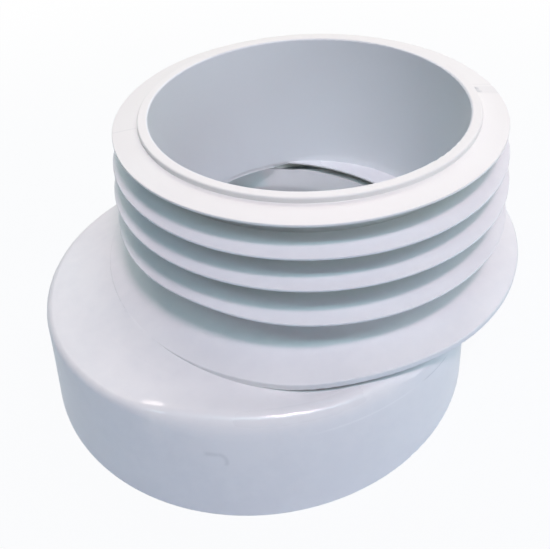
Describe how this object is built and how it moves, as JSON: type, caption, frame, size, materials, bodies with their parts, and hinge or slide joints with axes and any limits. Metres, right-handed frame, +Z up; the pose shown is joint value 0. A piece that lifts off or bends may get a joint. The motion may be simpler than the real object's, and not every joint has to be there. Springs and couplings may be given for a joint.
{
  "type": "toilet pan connector",
  "caption": "Soft white pan connector: a short cup that seals over a toilet pan's outlet, with a finned spigot set to one side that pushes into a soil pipe.",
  "frame": {"origin": "centre of the cup's mouth, in the plane of its foot", "axes": "+Z up the cup's axis towards the spigot, +X the way the spigot is set over, +Y across"},
  "size_m": [0.1561, 0.1332, 0.0775],
  "materials": {
    "soft_plastic": "satin"
  },
  "bodies": {
    "root": {"connector": "soft_plastic"}
  },
  "joints": []
}
